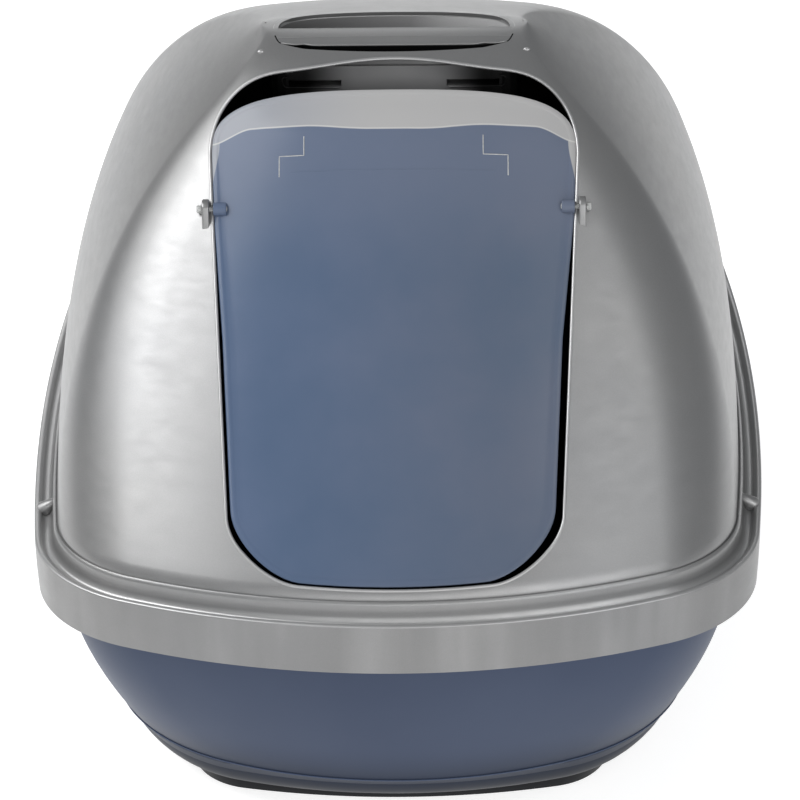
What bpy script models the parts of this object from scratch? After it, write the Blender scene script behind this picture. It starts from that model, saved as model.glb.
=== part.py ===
"""Hooded cat litter box: a bowl-shaped base tray, a one-piece hood with a carry handle,
a swinging entrance flap on two pins, and a filter housing under the handle.

Run with: blender --background --python part.py
Units are metres. +Z is up and the entrance faces -Y. The origin is on the floor,
under the middle of the rim.
"""

import math

import bmesh
import bpy
from mathutils import Matrix, Vector

# Overall size
HEIGHT = 0.465
RIM_HALF_WIDTH = 0.2465
RIM_HALF_LENGTH = 0.3285

# Plans are (half width, half length, side radius, end radius, corner radius)
RIM_PLAN = (RIM_HALF_WIDTH, RIM_HALF_LENGTH, 2.046, 0.445, 0.102)
STEP_PLAN = (0.1984, 0.2726, 1.849, 0.278, 0.136)
FOOT_PLAN = (0.150, 0.232, 1.500, 0.450, 0.045)
PLAN_STEPS = (3, 7, 5)  # points along each quarter's side, corner and end arcs

# Hood
HOOD_WALL = 0.0024
SHOULDER_Z = 0.200  # the crease where the dome starts
SHOULDER_INSET = 0.016
DOME_LEVELS = 15
TOP_HALF_WIDTH = 0.088
SIDE_POWER = 2.3
REAR_POWER = 2.4
REAR_ROUND = 0.75
FRONT_TILT = math.radians(42)  # the entrance face leans back this far from upright
CROWN_RADIUS = 0.124
CROWN_Y = -0.019
SKIRT_BOTTOM_Z = 0.154

# Entrance, measured up the tilted face from the crease
DOOR_BOTTOM = 0.0046
DOOR_TOP = 0.3543
DOOR_BROW = 0.0094  # the arch is this much higher in the middle
DOOR_BROW_HALF_WIDTH = 0.085
DOOR_HEAD_HALF_WIDTH = 0.070  # the rounded head starts here
DOOR_HALF_WIDTH = 0.1197
DOOR_WIDEST = 0.297
DOOR_HEAD_POWER = 2.15
DOOR_TAPER = 0.0523  # sideways per metre down
DOOR_CORNER = (0.0457, 0.0517)
CORNER_POWER = 1.82
SILL_BOW = 0.0038  # the sill rises this much, 60 mm from the middle

# Flap and hinge
FLAP_BOTTOM = 0.0072
FLAP_TOP = 0.3380
FLAP_CORNER = (0.045, 0.054)
FLAP_HEAD_START = 0.298
FLAP_HEAD_HEIGHT = 0.0406
FLAP_HEAD_POWER = 3.3
FLAP_GAP = 0.0012
FLAP_LOWER_GAP = 0.0042
FLAP_SINK = 0.0006
FLAP_WALL = 0.0020
FLAP_ROWS = 14
FLAP_COLUMNS = 12
HINGE_Y = -0.130
HINGE_Z = 0.385
BOSS_RADIUS = 0.0043
BOSS_INNER_X = 0.1080
PIN_RADIUS = 0.0016
PIN_CLEARANCE = 0.00025
PIN_HEAD_RADIUS = 0.0027
LUG_INNER_X = 0.1192
LUG_OUTER_X = 0.1238
LUG_RADIUS = 0.0065
LUG_TAIL = 0.0130

# Carry handle: a bar across a finger pocket
GRIP_HALF_WIDTH = 0.0765
GRIP_REAR_Y = 0.012
BAR_REAR_Y = -0.019
BAR_FRONT_Y = -0.040
BAR_THICKNESS = 0.0065
SLIT_FRONT_Y = -0.049
POCKET_WALL = 0.0022
POCKET_BOTTOM_Z = 0.4425
POCKET_FLOOR_Z = 0.4447
POCKET_CORNER = 0.012

# Filter housing, cover and pad
HOUSING_FLOOR_Z = 0.4240
HOUSING_TOP_Z = 0.4520
HOUSING_WALL = 0.0018
HOUSING_FIT = 0.0004
FILTER_TOP_Z = 0.4355
COVER_WALL = 0.0015
GAP = 0.0003

# Base tray
TRAY_WALL = 0.0024
TRAY_TOP_Z = 0.1814
TRAY_FLOOR_Z = 0.0130
RIM_INSET = 0.0040
WALL_HEAD_INSET = 0.0180  # the wall's top, under the rim's flange
WALL_HEAD_Z = 0.156
WALL_POWER = 1.47
FLANGE_Z = 0.163
STEP_Z = 0.0391
UNDER_POWER = 0.52
FOOT_HEIGHT = 0.0120
FOOT_WALL = 0.0032
UNDER_STEPS = 4
WALL_STEPS = 4

MOAT_LUG_Y = -0.172

COLOURS = {
    "silver_grey": ((0.29, 0.29, 0.29), 0.38, 0.5),
    "blue_grey": ((0.045, 0.058, 0.088), 0.30, 0.0),
    "smoked_blue": ((0.10, 0.14, 0.22), 0.10, 0.0),
    "natural_clear": ((0.70, 0.71, 0.70), 0.18, 0.0),
    "inner_grey": ((0.12, 0.12, 0.12), 0.45, 0.0),
    "carbon_black": ((0.012, 0.012, 0.013), 0.95, 0.0),
}


def clear_scene():
    for old in list(bpy.data.objects):
        bpy.data.objects.remove(old, do_unlink=True)


def new_collection(name):
    collection = bpy.data.collections.new(name)
    bpy.context.scene.collection.children.link(collection)
    return collection


def material(name):
    found = bpy.data.materials.get(name)
    if found:
        return found
    colour, roughness, metallic = COLOURS[name]
    made = bpy.data.materials.new(name)
    made.use_nodes = True
    shader = made.node_tree.nodes["Principled BSDF"]
    shader.inputs["Base Color"].default_value = (*colour, 1.0)
    shader.inputs["Roughness"].default_value = roughness
    shader.inputs["Metallic"].default_value = metallic
    return made


def add_object(name, bm, collection, colour=None):
    bmesh.ops.recalc_face_normals(bm, faces=bm.faces)
    mesh = bpy.data.meshes.new(name)
    bm.to_mesh(mesh)
    bm.free()
    obj = bpy.data.objects.new(name, mesh)
    collection.objects.link(obj)
    if colour:
        mesh.materials.append(material(colour))
        mesh.shade_smooth()
        mesh.set_sharp_from_angle(angle=math.radians(32))
    else:
        obj.hide_render = True
        obj.display_type = "WIRE"
    return obj


def set_origin(obj, point):
    obj.data.transform(Matrix.Translation(-point))
    obj.location = point


def add_empty(name, place, collection, parent=None):
    """A joint's frame. The pieces that move with it are its children."""
    empty = bpy.data.objects.new(name, None)
    empty.empty_display_size = 0.03
    empty.location = Vector(place)
    collection.objects.link(empty)
    if parent:
        attach(empty, parent)
    return empty


def attach(child, parent):
    """Parents a child whose location is still a world position."""
    offset = Vector((0.0, 0.0, 0.0))
    frame = parent
    while frame:
        offset += frame.location
        frame = frame.parent
    child.parent = parent
    child.location -= offset


def combine(target, other, operation):
    modifier = target.modifiers.new(f"{operation.lower()} {other.name}", "BOOLEAN")
    modifier.operation = operation
    modifier.object = other
    modifier.solver = "EXACT"


def thicken(obj, thickness):
    modifier = obj.modifiers.new("wall", "SOLIDIFY")
    modifier.thickness = thickness
    modifier.offset = -1.0
    modifier.use_even_offset = True


# Plans: an oval of four pairs of arcs, each tangent to the next


def plan_centres(plan):
    """The centres of a quarter's side, end and corner arcs, in the +X +Y quarter."""
    half_width, half_length, side_r, end_r, corner_r = plan
    side = Vector((half_width - side_r, 0.0))
    end = Vector((0.0, half_length - end_r))
    to_side, to_end = side_r - corner_r, end_r - corner_r
    between = end - side
    along = (to_side**2 - to_end**2 + between.length**2) / (2 * between.length)
    across = math.sqrt(max(to_side**2 - along**2, 0.0))
    unit = between.normalized()
    corner = side + unit * along + Vector((-unit.y, unit.x)) * across
    return side, end, corner


def arc(centre, radius, start, stop, steps):
    """Points from start to stop, leaving out the last."""
    for i in range(steps):
        angle = start + (stop - start) * i / steps
        yield Vector((centre.x + radius * math.cos(angle), centre.y + radius * math.sin(angle)))


def plan_outline(plan, inset=0.0):
    """The whole outline, anticlockwise from +X."""
    half_width, half_length, side_r, end_r, corner_r = (size - inset for size in plan)
    side, end, corner = plan_centres((half_width, half_length, side_r, end_r, corner_r))
    first = math.atan2(corner.y - side.y, corner.x - side.x)
    second = math.atan2(corner.y - end.y, corner.x - end.x)
    side_steps, corner_steps, end_steps = PLAN_STEPS
    quarter = list(arc(side, side_r, 0.0, first, side_steps))
    quarter += arc(corner, corner_r, first, second, corner_steps)
    quarter += arc(end, end_r, second, math.pi / 2, end_steps)
    top = Vector((0.0, half_length))
    left = [Vector((-p.x, p.y)) for p in reversed(quarter[1:])]
    upper = quarter + [top] + left
    lower = [Vector((-p.x, -p.y)) for p in upper]
    return upper + lower


def lift(outline, z):
    return [Vector((p.x, p.y, z)) for p in outline]


def loft(bm, sections, close_last=False):
    """Quads between neighbouring sections, which all hold the same number of points."""
    loops = [[bm.verts.new(p) for p in section] for section in sections]
    for lower, upper in zip(loops, loops[1:]):
        for i, vert in enumerate(lower):
            after = (i + 1) % len(lower)
            bm.faces.new((vert, lower[after], upper[after], upper[i]))
    if close_last:
        bm.faces.new(loops[-1])
    return loops


def prism(bm, outline, direction):
    """A closed prism from a flat outline of 3-D points."""
    face = bm.faces.new([bm.verts.new(p) for p in outline])
    made = bmesh.ops.extrude_face_region(bm, geom=[face])
    moved = [item for item in made["geom"] if isinstance(item, bmesh.types.BMVert)]
    bmesh.ops.translate(bm, verts=moved, vec=direction)


def box(bm, low, high):
    size = [b - a for a, b in zip(low, high)]
    middle = [(a + b) / 2 for a, b in zip(low, high)]
    matrix = Matrix.Translation(middle) @ Matrix.Diagonal((*size, 1.0))
    bmesh.ops.create_cube(bm, size=1.0, matrix=matrix)


def x_cylinder(bm, radius, x_low, x_high, segments=20):
    """A cylinder along X on the hinge axis."""
    place = Matrix.Translation(((x_low + x_high) / 2, HINGE_Y, HINGE_Z))
    turn = Matrix.Rotation(math.pi / 2, 4, "Y")
    bmesh.ops.create_cone(
        bm, cap_ends=True, segments=segments, radius1=radius, radius2=radius,
        depth=x_high - x_low, matrix=place @ turn,
    )


# The dome


SHOULDER_PLAN = tuple(size - SHOULDER_INSET for size in RIM_PLAN)


def dome_section(z):
    """Half width, front y and rear y of the dome at height z."""
    share = min(max((z - SHOULDER_Z) / (HEIGHT - SHOULDER_Z), 0.0), 1.0)
    half_width = TOP_HALF_WIDTH + (SHOULDER_PLAN[0] - TOP_HALF_WIDTH) * (1 - share**SIDE_POWER)
    rear = SHOULDER_PLAN[1] * (1 - share**REAR_POWER) ** REAR_ROUND
    crown_z = HEIGHT - CROWN_RADIUS
    tangent_z = crown_z + CROWN_RADIUS * math.sin(FRONT_TILT)
    tangent_y = CROWN_Y - CROWN_RADIUS * math.cos(FRONT_TILT)
    if z < tangent_z:
        front = tangent_y - (tangent_z - z) * math.tan(FRONT_TILT)
    else:
        front = CROWN_Y - math.sqrt(max(CROWN_RADIUS**2 - (z - crown_z) ** 2, 0.0))
    return half_width, max(front, -SHOULDER_PLAN[1]), rear


def dome_outline(z):
    half_width, front, rear = dome_section(z)
    scale_x = half_width / SHOULDER_PLAN[0]
    scale_y = (rear - front) / 2 / SHOULDER_PLAN[1]
    middle = (rear + front) / 2
    return [Vector((p.x * scale_x, middle + p.y * scale_y)) for p in plan_outline(SHOULDER_PLAN)]


def dome_front_y(x, z):
    """The dome's front surface at a given x and height."""
    half_width, front, rear = dome_section(z)
    plan_x = min(abs(x) * SHOULDER_PLAN[0] / half_width, SHOULDER_PLAN[0])
    _, end, corner = plan_centres(SHOULDER_PLAN)
    end_r, corner_r = SHOULDER_PLAN[3], SHOULDER_PLAN[4]
    join_x = end_r * corner.x / (end_r - corner_r)
    if plan_x < join_x:
        plan_y = end.y + math.sqrt(end_r**2 - plan_x**2)
    else:
        plan_y = corner.y + math.sqrt(max(corner_r**2 - (plan_x - corner.x) ** 2, 0.0))
    return (rear + front) / 2 - plan_y * (rear - front) / 2 / SHOULDER_PLAN[1]


FACE_ORIGIN = Vector((0.0, -SHOULDER_PLAN[1], SHOULDER_Z))
FACE_UP = Vector((0.0, math.sin(FRONT_TILT), math.cos(FRONT_TILT)))
FACE_OUT = Vector((0.0, -math.cos(FRONT_TILT), math.sin(FRONT_TILT)))


def face_point(x, up):
    """The point of the dome's front at x that is this far up the tilted face."""
    low, high = SHOULDER_Z, HEIGHT
    for _ in range(40):
        z = (low + high) / 2
        point = Vector((x, dome_front_y(x, z), z))
        if (point - FACE_ORIGIN).dot(FACE_UP) < up:
            low = z
        else:
            high = z
    return point


def face_normal(x, up, step=0.002):
    across = face_point(x + step, up) - face_point(x - step, up)
    along = face_point(x, up + step) - face_point(x, up - step)
    return across.cross(along).normalized()


# Hood


def rim_profile():
    """Inset and height of the skirt, rolled rim, moat and bead, from the bottom up."""
    return [
        (0.0012, SKIRT_BOTTOM_Z),
        (0.0006, 0.1700),
        (0.0002, 0.1835),
        (0.0008, 0.1872),
        (0.0030, 0.1887),
        (0.0048, 0.1878),
        (0.0066, 0.1844),
        (0.0092, 0.1844),
        (0.0120, 0.1886),
        (0.0136, 0.1950),
        (0.0148, 0.1984),
        (SHOULDER_INSET, SHOULDER_Z),
    ]


def dome_levels():
    for i in range(1, DOME_LEVELS + 1):
        share = 1 - (1 - i / DOME_LEVELS) ** 1.7
        yield SHOULDER_Z + (HEIGHT - SHOULDER_Z) * share


def make_hood_shell(parts):
    sections = [lift(plan_outline(RIM_PLAN, inset), z) for inset, z in rim_profile()]
    sections += [lift(dome_outline(z), z) for z in dome_levels()]
    bm = bmesh.new()
    loft(bm, sections, close_last=True)
    hood = add_object("hood", bm, parts, "silver_grey")
    thicken(hood, HOOD_WALL)
    return hood


def make_dome_core(cutters, drop=0.0012):
    """A solid that ends inside the dome's wall, for trimming what hangs under it."""
    sections = [lift(dome_outline(SHOULDER_Z), SHOULDER_Z - drop)]
    sections += [lift(dome_outline(z), z - drop) for z in dome_levels()]
    bm = bmesh.new()
    loops = loft(bm, sections, close_last=True)
    bm.faces.new(reversed(loops[0]))
    return add_object("dome_core", bm, cutters)


def door_half_width(up):
    return DOOR_HALF_WIDTH - DOOR_TAPER * max(DOOR_WIDEST - up, 0.0)


def bowed(x, up, corner_top, corner_height):
    """A height near the sill, raised towards the sides as the sill bows."""
    share = min(max((corner_top - up) / corner_height, 0.0), 1.0)
    return up + SILL_BOW * min(abs(x) / 0.060, 1.6) ** 2 * share


def door_brow(x):
    if abs(x) > DOOR_BROW_HALF_WIDTH:
        return 0.0
    return DOOR_BROW * (0.5 + 0.5 * math.cos(math.pi * x / DOOR_BROW_HALF_WIDTH))


def door_outline():
    """The entrance's outline as (x, distance up the face), anticlockwise from the sill."""
    width, rise = DOOR_CORNER
    corner_top = DOOR_BOTTOM + rise
    corner_x = door_half_width(corner_top) - width
    right = []
    for i in range(4):
        x = corner_x * i / 4
        right.append((x, bowed(x, DOOR_BOTTOM, corner_top, rise)))
    for i in range(9):
        angle = math.pi / 2 * i / 8
        x = corner_x + width * math.sin(angle) ** (2 / CORNER_POWER)
        up = corner_top - rise * math.cos(angle) ** (2 / CORNER_POWER)
        right.append((x, bowed(x, up, corner_top, rise)))
    for i in range(1, 7):
        up = corner_top + (DOOR_WIDEST - corner_top) * i / 6
        right.append((door_half_width(up), up))
    head_x = DOOR_HALF_WIDTH - DOOR_HEAD_HALF_WIDTH
    for i in range(1, 9):
        angle = math.pi / 2 * i / 8
        x = DOOR_HEAD_HALF_WIDTH + head_x * max(math.cos(angle), 0.0) ** (2 / DOOR_HEAD_POWER)
        up = DOOR_WIDEST + (DOOR_TOP - DOOR_WIDEST) * math.sin(angle) ** (2 / DOOR_HEAD_POWER)
        right.append((x, up + door_brow(x)))
    for i in range(1, 7):
        x = DOOR_HEAD_HALF_WIDTH * (1 - i / 7)
        right.append((x, DOOR_TOP + door_brow(x)))
    left = [(-x, up) for x, up in reversed(right[1:])]
    return right + [(0.0, DOOR_TOP + DOOR_BROW)] + left


def make_door_cutter(cutters, outside=0.05, inside=0.08):
    start = FACE_ORIGIN + FACE_OUT * outside
    points = [start + Vector((x, 0.0, 0.0)) + FACE_UP * up for x, up in door_outline()]
    bm = bmesh.new()
    prism(bm, points, -FACE_OUT * (outside + inside))
    return add_object("door_cutter", bm, cutters)


def grip_outline(grow=0.0, front_y=SLIT_FRONT_Y, steps=16):
    """Straight sides and front with rounded front corners, and a bowed rear, from above."""
    half_width = GRIP_HALF_WIDTH + grow
    front = front_y - grow
    corner = POCKET_CORNER + grow
    shoulder_y = BAR_REAR_Y + 0.001
    bow = GRIP_REAR_Y + grow - shoulder_y
    right = [Vector((half_width - corner + corner * math.sin(a), front + corner * (1 - math.cos(a))))
             for a in (math.pi / 2 * i / 4 for i in range(5))]
    left = [Vector((-p.x, p.y)) for p in reversed(right)]
    points = left + right
    for i in range(steps + 1):
        angle = math.pi * i / steps
        x = half_width * math.copysign(abs(math.cos(angle)) ** 0.8, math.cos(angle))
        points.append(Vector((x, shoulder_y + bow * math.sin(angle) ** 0.8)))
    return points


def scoop_outline(steps=16):
    """The pocket's opening behind the bar: a straight front and a bowed rear."""
    front = BAR_REAR_Y - GAP
    bow = GRIP_REAR_Y - front
    for i in range(steps + 1):
        angle = math.pi * i / steps
        x = GRIP_HALF_WIDTH * math.copysign(abs(math.cos(angle)) ** 0.8, math.cos(angle))
        yield Vector((x, front + bow * math.sin(angle) ** 0.8))


def cup(bm, inner, outer, bottom_z, floor_z, top_z):
    """An open-topped cup between two outlines."""
    sections = [lift(outer, bottom_z), lift(outer, top_z), lift(inner, top_z), lift(inner, floor_z)]
    loops = loft(bm, sections, close_last=True)
    bm.faces.new(reversed(loops[0]))


def make_pocket(cutters, core):
    """The finger pocket's cup and the bar's underside, trimmed to the dome."""
    bm = bmesh.new()
    inner, outer = grip_outline(GAP), grip_outline(GAP + POCKET_WALL)
    cup(bm, inner, outer, POCKET_BOTTOM_Z, POCKET_FLOOR_Z, HEIGHT + 0.005)
    pocket = add_object("pocket", bm, cutters)
    combine(pocket, core, "INTERSECT")
    bm = bmesh.new()
    reach = GRIP_HALF_WIDTH + POCKET_WALL / 2
    bar_low = (-reach, BAR_FRONT_Y, HEIGHT - BAR_THICKNESS)
    box(bm, bar_low, (reach, BAR_REAR_Y, HEIGHT + 0.005))
    bar = add_object("bar_underside", bm, cutters)
    combine(bar, core, "INTERSECT")
    return pocket, bar


def make_grip_cutters(cutters, low=0.4565):
    bm = bmesh.new()
    prism(bm, lift(scoop_outline(), low), Vector((0.0, 0.0, HEIGHT + 0.01 - low)))
    scoop = add_object("scoop_cutter", bm, cutters)
    bm = bmesh.new()
    reach, taper = GRIP_HALF_WIDTH - 0.0020, 0.0105
    rear_y, end_y = BAR_FRONT_Y + GAP, BAR_FRONT_Y - 0.0025
    right = [Vector((reach - taper, SLIT_FRONT_Y)), Vector((reach, end_y)), Vector((reach, rear_y))]
    outline = right + [Vector((-p.x, p.y)) for p in reversed(right)]
    prism(bm, lift(outline, low), Vector((0.0, 0.0, HEIGHT + 0.01 - low)))
    slit = add_object("slit_cutter", bm, cutters)
    return slit, scoop


def make_lug(cutters, side):
    """A teardrop tab on the hood beside the entrance, which carries a hinge pin."""
    tail_radius = 0.0025
    tail_centre = -FACE_UP * (LUG_TAIL - tail_radius) - FACE_OUT * 0.003
    points = []
    for i in range(11):
        angle = math.radians(-15 + 210 * i / 10)
        offset = FACE_OUT * math.cos(angle) + FACE_UP * math.sin(angle)
        points.append(offset * LUG_RADIUS)
    for i in range(5):
        angle = math.radians(195 + 150 * i / 4)
        offset = FACE_OUT * math.cos(angle) + FACE_UP * math.sin(angle)
        points.append(tail_centre + offset * tail_radius)
    axis = Vector((side * LUG_INNER_X, HINGE_Y, HINGE_Z))
    bm = bmesh.new()
    prism(bm, [axis + p for p in points], Vector((side * (LUG_OUTER_X - LUG_INNER_X), 0.0, 0.0)))
    name = "left" if side < 0 else "right"
    return add_object(f"lug_{name}", bm, cutters)


def make_lug_bores(cutters):
    bm = bmesh.new()
    for side in (-1, 1):
        x_low, x_high = sorted((side * (LUG_INNER_X - 0.003), side * (LUG_OUTER_X + 0.002)))
        x_cylinder(bm, PIN_RADIUS + PIN_CLEARANCE, x_low, x_high)
    return add_object("lug_bores", bm, cutters)


def make_moat_lug(cutters, side):
    """A rib across the moat that keeps stacked hoods apart."""
    bm = bmesh.new()
    outer, inner = 0.2350, 0.2240
    outline = [(outer, 0.1832), (outer, 0.1905), (inner, 0.1968), (inner, 0.1945), (0.2300, 0.1832)]
    points = [Vector((side * x, MOAT_LUG_Y - 0.0045, z)) for x, z in outline]
    prism(bm, points, Vector((0.0, 0.009, 0.0)))
    return add_object(f"moat_lug_{'left' if side < 0 else 'right'}", bm, cutters)


def make_hood(parts, cutters):
    hood = make_hood_shell(parts)
    core = make_dome_core(cutters)
    for piece in make_pocket(cutters, core):
        combine(hood, piece, "UNION")
    combine(hood, make_door_cutter(cutters), "DIFFERENCE")
    for cutter in make_grip_cutters(cutters):
        combine(hood, cutter, "DIFFERENCE")
    for side in (-1, 1):
        combine(hood, make_lug(cutters, side), "UNION")
    combine(hood, make_lug_bores(cutters), "DIFFERENCE")
    for side in (-1, 1):
        combine(hood, make_moat_lug(cutters, side), "UNION")
    return hood


# Flap


def flap_half_width(up):
    """Half width of the flap: a rounded foot, sides that follow the entrance, a rounded head."""
    width, rise = FLAP_CORNER
    share = min(max((up - 0.17) / 0.08, 0.0), 1.0)
    side = door_half_width(up) - (FLAP_LOWER_GAP + (FLAP_GAP - FLAP_LOWER_GAP) * share)
    low = (FLAP_BOTTOM + rise - up) / rise
    if low > 0:
        side -= width * (1 - max(1 - low**CORNER_POWER, 0.0) ** (1 / CORNER_POWER))
    high = (up - FLAP_HEAD_START) / FLAP_HEAD_HEIGHT
    if high > 0:
        side *= (1 - high**FLAP_HEAD_POWER) ** (1 / FLAP_HEAD_POWER)
    return side


def flap_rows():
    """Distances up the face, closer together in the rounded foot and head."""
    for i in range(FLAP_ROWS + 1):
        share = i / FLAP_ROWS
        eased = share - math.sin(2 * math.pi * share) * 0.94 / (2 * math.pi)
        yield FLAP_BOTTOM + (FLAP_TOP - FLAP_BOTTOM) * eased


def make_flap(parts, cutters):
    bm = bmesh.new()
    grid = []
    for up in flap_rows():
        half_width = flap_half_width(up)
        row = []
        for i in range(FLAP_COLUMNS + 1):
            x = half_width * (2 * i / FLAP_COLUMNS - 1)
            place = bowed(x, up, FLAP_BOTTOM + FLAP_CORNER[1], FLAP_CORNER[1])
            row.append(bm.verts.new(face_point(x, place) - face_normal(x, place) * FLAP_SINK))
        grid.append(row)
    for lower, upper in zip(grid, grid[1:]):
        for i in range(FLAP_COLUMNS):
            bm.faces.new((lower[i], lower[i + 1], upper[i + 1], upper[i]))
    for face in bm.faces:
        face.normal_update()
    if sum((face.normal.dot(FACE_OUT) for face in bm.faces)) < 0:
        bmesh.ops.reverse_faces(bm, faces=bm.faces)
    mesh = bpy.data.meshes.new("flap")
    bm.to_mesh(mesh)
    bm.free()
    flap = bpy.data.objects.new("flap", mesh)
    parts.objects.link(flap)
    mesh.materials.append(material("smoked_blue"))
    mesh.shade_smooth()
    thicken(flap, FLAP_WALL)
    outer_x = door_half_width(0.26) - FLAP_GAP
    for side in (-1, 1):
        name = "left" if side < 0 else "right"
        bm = bmesh.new()
        x_cylinder(bm, BOSS_RADIUS, *sorted((side * BOSS_INNER_X, side * outer_x)))
        combine(flap, add_object(f"boss_{name}", bm, cutters), "UNION")
        bm = bmesh.new()
        bore_low, bore_high = sorted((side * (BOSS_INNER_X + 0.001), side * (outer_x + 0.002)))
        x_cylinder(bm, PIN_RADIUS + PIN_CLEARANCE, bore_low, bore_high)
        combine(flap, add_object(f"boss_bore_{name}", bm, cutters), "DIFFERENCE")
    set_origin(flap, Vector((0.0, HINGE_Y, HINGE_Z)))
    return flap


def make_pin(parts, side):
    name = "hinge_pin_left" if side < 0 else "hinge_pin_right"
    tip, shoulder, end = BOSS_INNER_X + 0.0016, LUG_OUTER_X + GAP, LUG_OUTER_X + 0.0036
    outline = [(0.0, end), (0.0019, end), (PIN_HEAD_RADIUS, end - 0.0008), (PIN_HEAD_RADIUS, shoulder)]
    outline += [(PIN_RADIUS, shoulder), (PIN_RADIUS, tip + 0.0006), (PIN_RADIUS - 0.0006, tip), (0.0, tip)]
    bm = bmesh.new()
    verts = [bm.verts.new((radius, 0.0, height)) for radius, height in outline]
    for first, second in zip(verts, verts[1:]):
        bm.edges.new((first, second))
    mesh = bpy.data.meshes.new(name)
    bm.to_mesh(mesh)
    bm.free()
    mesh.materials.append(material("natural_clear"))
    pin = bpy.data.objects.new(name, mesh)
    parts.objects.link(pin)
    turn = pin.modifiers.new("turn", "SCREW")
    turn.axis = "Z"
    turn.steps = turn.render_steps = 20
    turn.use_merge_vertices = True
    turn.merge_threshold = 0.00001
    pin.location = (0.0, HINGE_Y, HINGE_Z)
    pin.rotation_euler = (0.0, side * math.pi / 2, 0.0)
    return pin


# Filter housing


def slot(bm, x, y, half_length, half_width, low, high, along="Y"):
    """A cutter for a straight vent slot."""
    reach = (half_width, half_length) if along == "Y" else (half_length, half_width)
    box(bm, (x - reach[0], y - reach[1], low), (x + reach[0], y + reach[1], high))


def make_housing(parts, cutters):
    inside = GAP + POCKET_WALL + HOUSING_FIT
    inner = grip_outline(inside)
    outer = grip_outline(inside + HOUSING_WALL)
    floor_z = HOUSING_FLOOR_Z + HOUSING_WALL
    bm = bmesh.new()
    cup(bm, inner, outer, HOUSING_FLOOR_Z, floor_z, HOUSING_TOP_Z)
    housing = add_object("filter_housing", bm, parts, "inner_grey")
    bm = bmesh.new()
    front_y = SLIT_FRONT_Y - inside - HOUSING_WALL
    for side in (-1, 1):
        low, high = sorted((side * 0.0345, side * 0.0690))
        box(bm, (low, front_y - 0.002, 0.4376), (high, front_y + HOUSING_WALL + 0.001, 0.4422))
    for i in range(9):
        slot(bm, (i - 4) * 0.014, -0.022, 0.020, 0.0022, HOUSING_FLOOR_Z - 0.002, floor_z + 0.002)
    combine(housing, add_object("housing_slots", bm, cutters), "DIFFERENCE")
    return housing


def make_filter(parts):
    outline = grip_outline(0.0018)
    bm = bmesh.new()
    low = HOUSING_FLOOR_Z + HOUSING_WALL + GAP
    prism(bm, lift(outline, low), Vector((0.0, 0.0, FILTER_TOP_Z - low)))
    return add_object("carbon_filter", bm, parts, "carbon_black")


def make_cover(parts, cutters):
    outline = grip_outline(0.0018)
    bm = bmesh.new()
    low = FILTER_TOP_Z + GAP
    prism(bm, lift(outline, low), Vector((0.0, 0.0, COVER_WALL)))
    cover = add_object("filter_cover", bm, parts, "inner_grey")
    bm = bmesh.new()
    for i in range(9):
        slot(bm, (i - 4) * 0.014, -0.022, 0.020, 0.0035, low - 0.002, low + COVER_WALL + 0.002)
    combine(cover, add_object("cover_slots", bm, cutters), "DIFFERENCE")
    return cover


# Base tray


def mix_outlines(first, second, share):
    return [a.lerp(b, share) for a, b in zip(first, second)]


def tray_under():
    """The underside, from the middle of the floor out over the foot ring to the step."""
    foot_inner = plan_outline(FOOT_PLAN, FOOT_WALL)
    sections = [lift(foot_inner, FOOT_HEIGHT - 0.0016), lift(foot_inner, 0.0)]
    sections.append(lift(plan_outline(FOOT_PLAN), 0.0))
    groove = plan_outline(FOOT_PLAN, -0.006)
    sections.append(lift(plan_outline(FOOT_PLAN, -0.003), FOOT_HEIGHT))
    step = plan_outline(STEP_PLAN)
    for i in range(1, UNDER_STEPS + 1):
        angle = math.pi / 2 * i / (UNDER_STEPS + 1)
        share = 1 - (1 - math.sin(angle)) ** UNDER_POWER
        rise = 1 - math.cos(angle)
        sections.append(lift(mix_outlines(groove, step, share), 0.0135 + (STEP_Z - 0.0135) * rise))
    return sections + [lift(step, STEP_Z)]


def tray_wall(inset, foot_z, top_z):
    """The bulging side wall from above the step up to the flange."""
    foot = plan_outline(STEP_PLAN, inset)
    head = plan_outline(RIM_PLAN, WALL_HEAD_INSET + inset)
    for i in range(WALL_STEPS + 1):
        share = i / WALL_STEPS
        out = 1 - (1 - share) ** WALL_POWER
        yield lift(mix_outlines(foot, head, out), foot_z + (top_z - foot_z) * share)


def make_tray(parts):
    """One closed skin: the underside, the outside of the wall, the rim, and the inside."""
    sections = tray_under()
    sections += tray_wall(0.0010, STEP_Z + 0.0015, WALL_HEAD_Z)
    rim_outside = [
        (RIM_INSET + 0.0012, FLANGE_Z),
        (RIM_INSET + 0.0014, TRAY_TOP_Z - 0.0010),
        (RIM_INSET + 0.0022, TRAY_TOP_Z),
    ]
    rim_inside = [
        (RIM_INSET + TRAY_WALL + 0.0010, TRAY_TOP_Z),
        (RIM_INSET + TRAY_WALL + 0.0014, FLANGE_Z + 0.0024),
    ]
    sections += [lift(plan_outline(RIM_PLAN, inset), z) for inset, z in rim_outside + rim_inside]
    inside = list(tray_wall(0.0010 + TRAY_WALL, STEP_Z + 0.0035, WALL_HEAD_Z + 0.0015))
    sections += reversed(inside)
    step = plan_outline(STEP_PLAN, 0.0010 + TRAY_WALL)
    floor = plan_outline(FOOT_PLAN, -0.004)
    floor_start = STEP_Z + 0.0035
    for i in range(1, UNDER_STEPS + 1):
        angle = math.pi / 2 * i / UNDER_STEPS
        share = 1 - math.cos(angle)
        z = floor_start - (floor_start - TRAY_FLOOR_Z) * math.sin(angle)
        sections.append(lift(mix_outlines(step, floor, share), z))
    bm = bmesh.new()
    loops = loft(bm, sections, close_last=True)
    bm.faces.new(reversed(loops[0]))
    return add_object("base_tray", bm, parts, "blue_grey")


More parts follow.
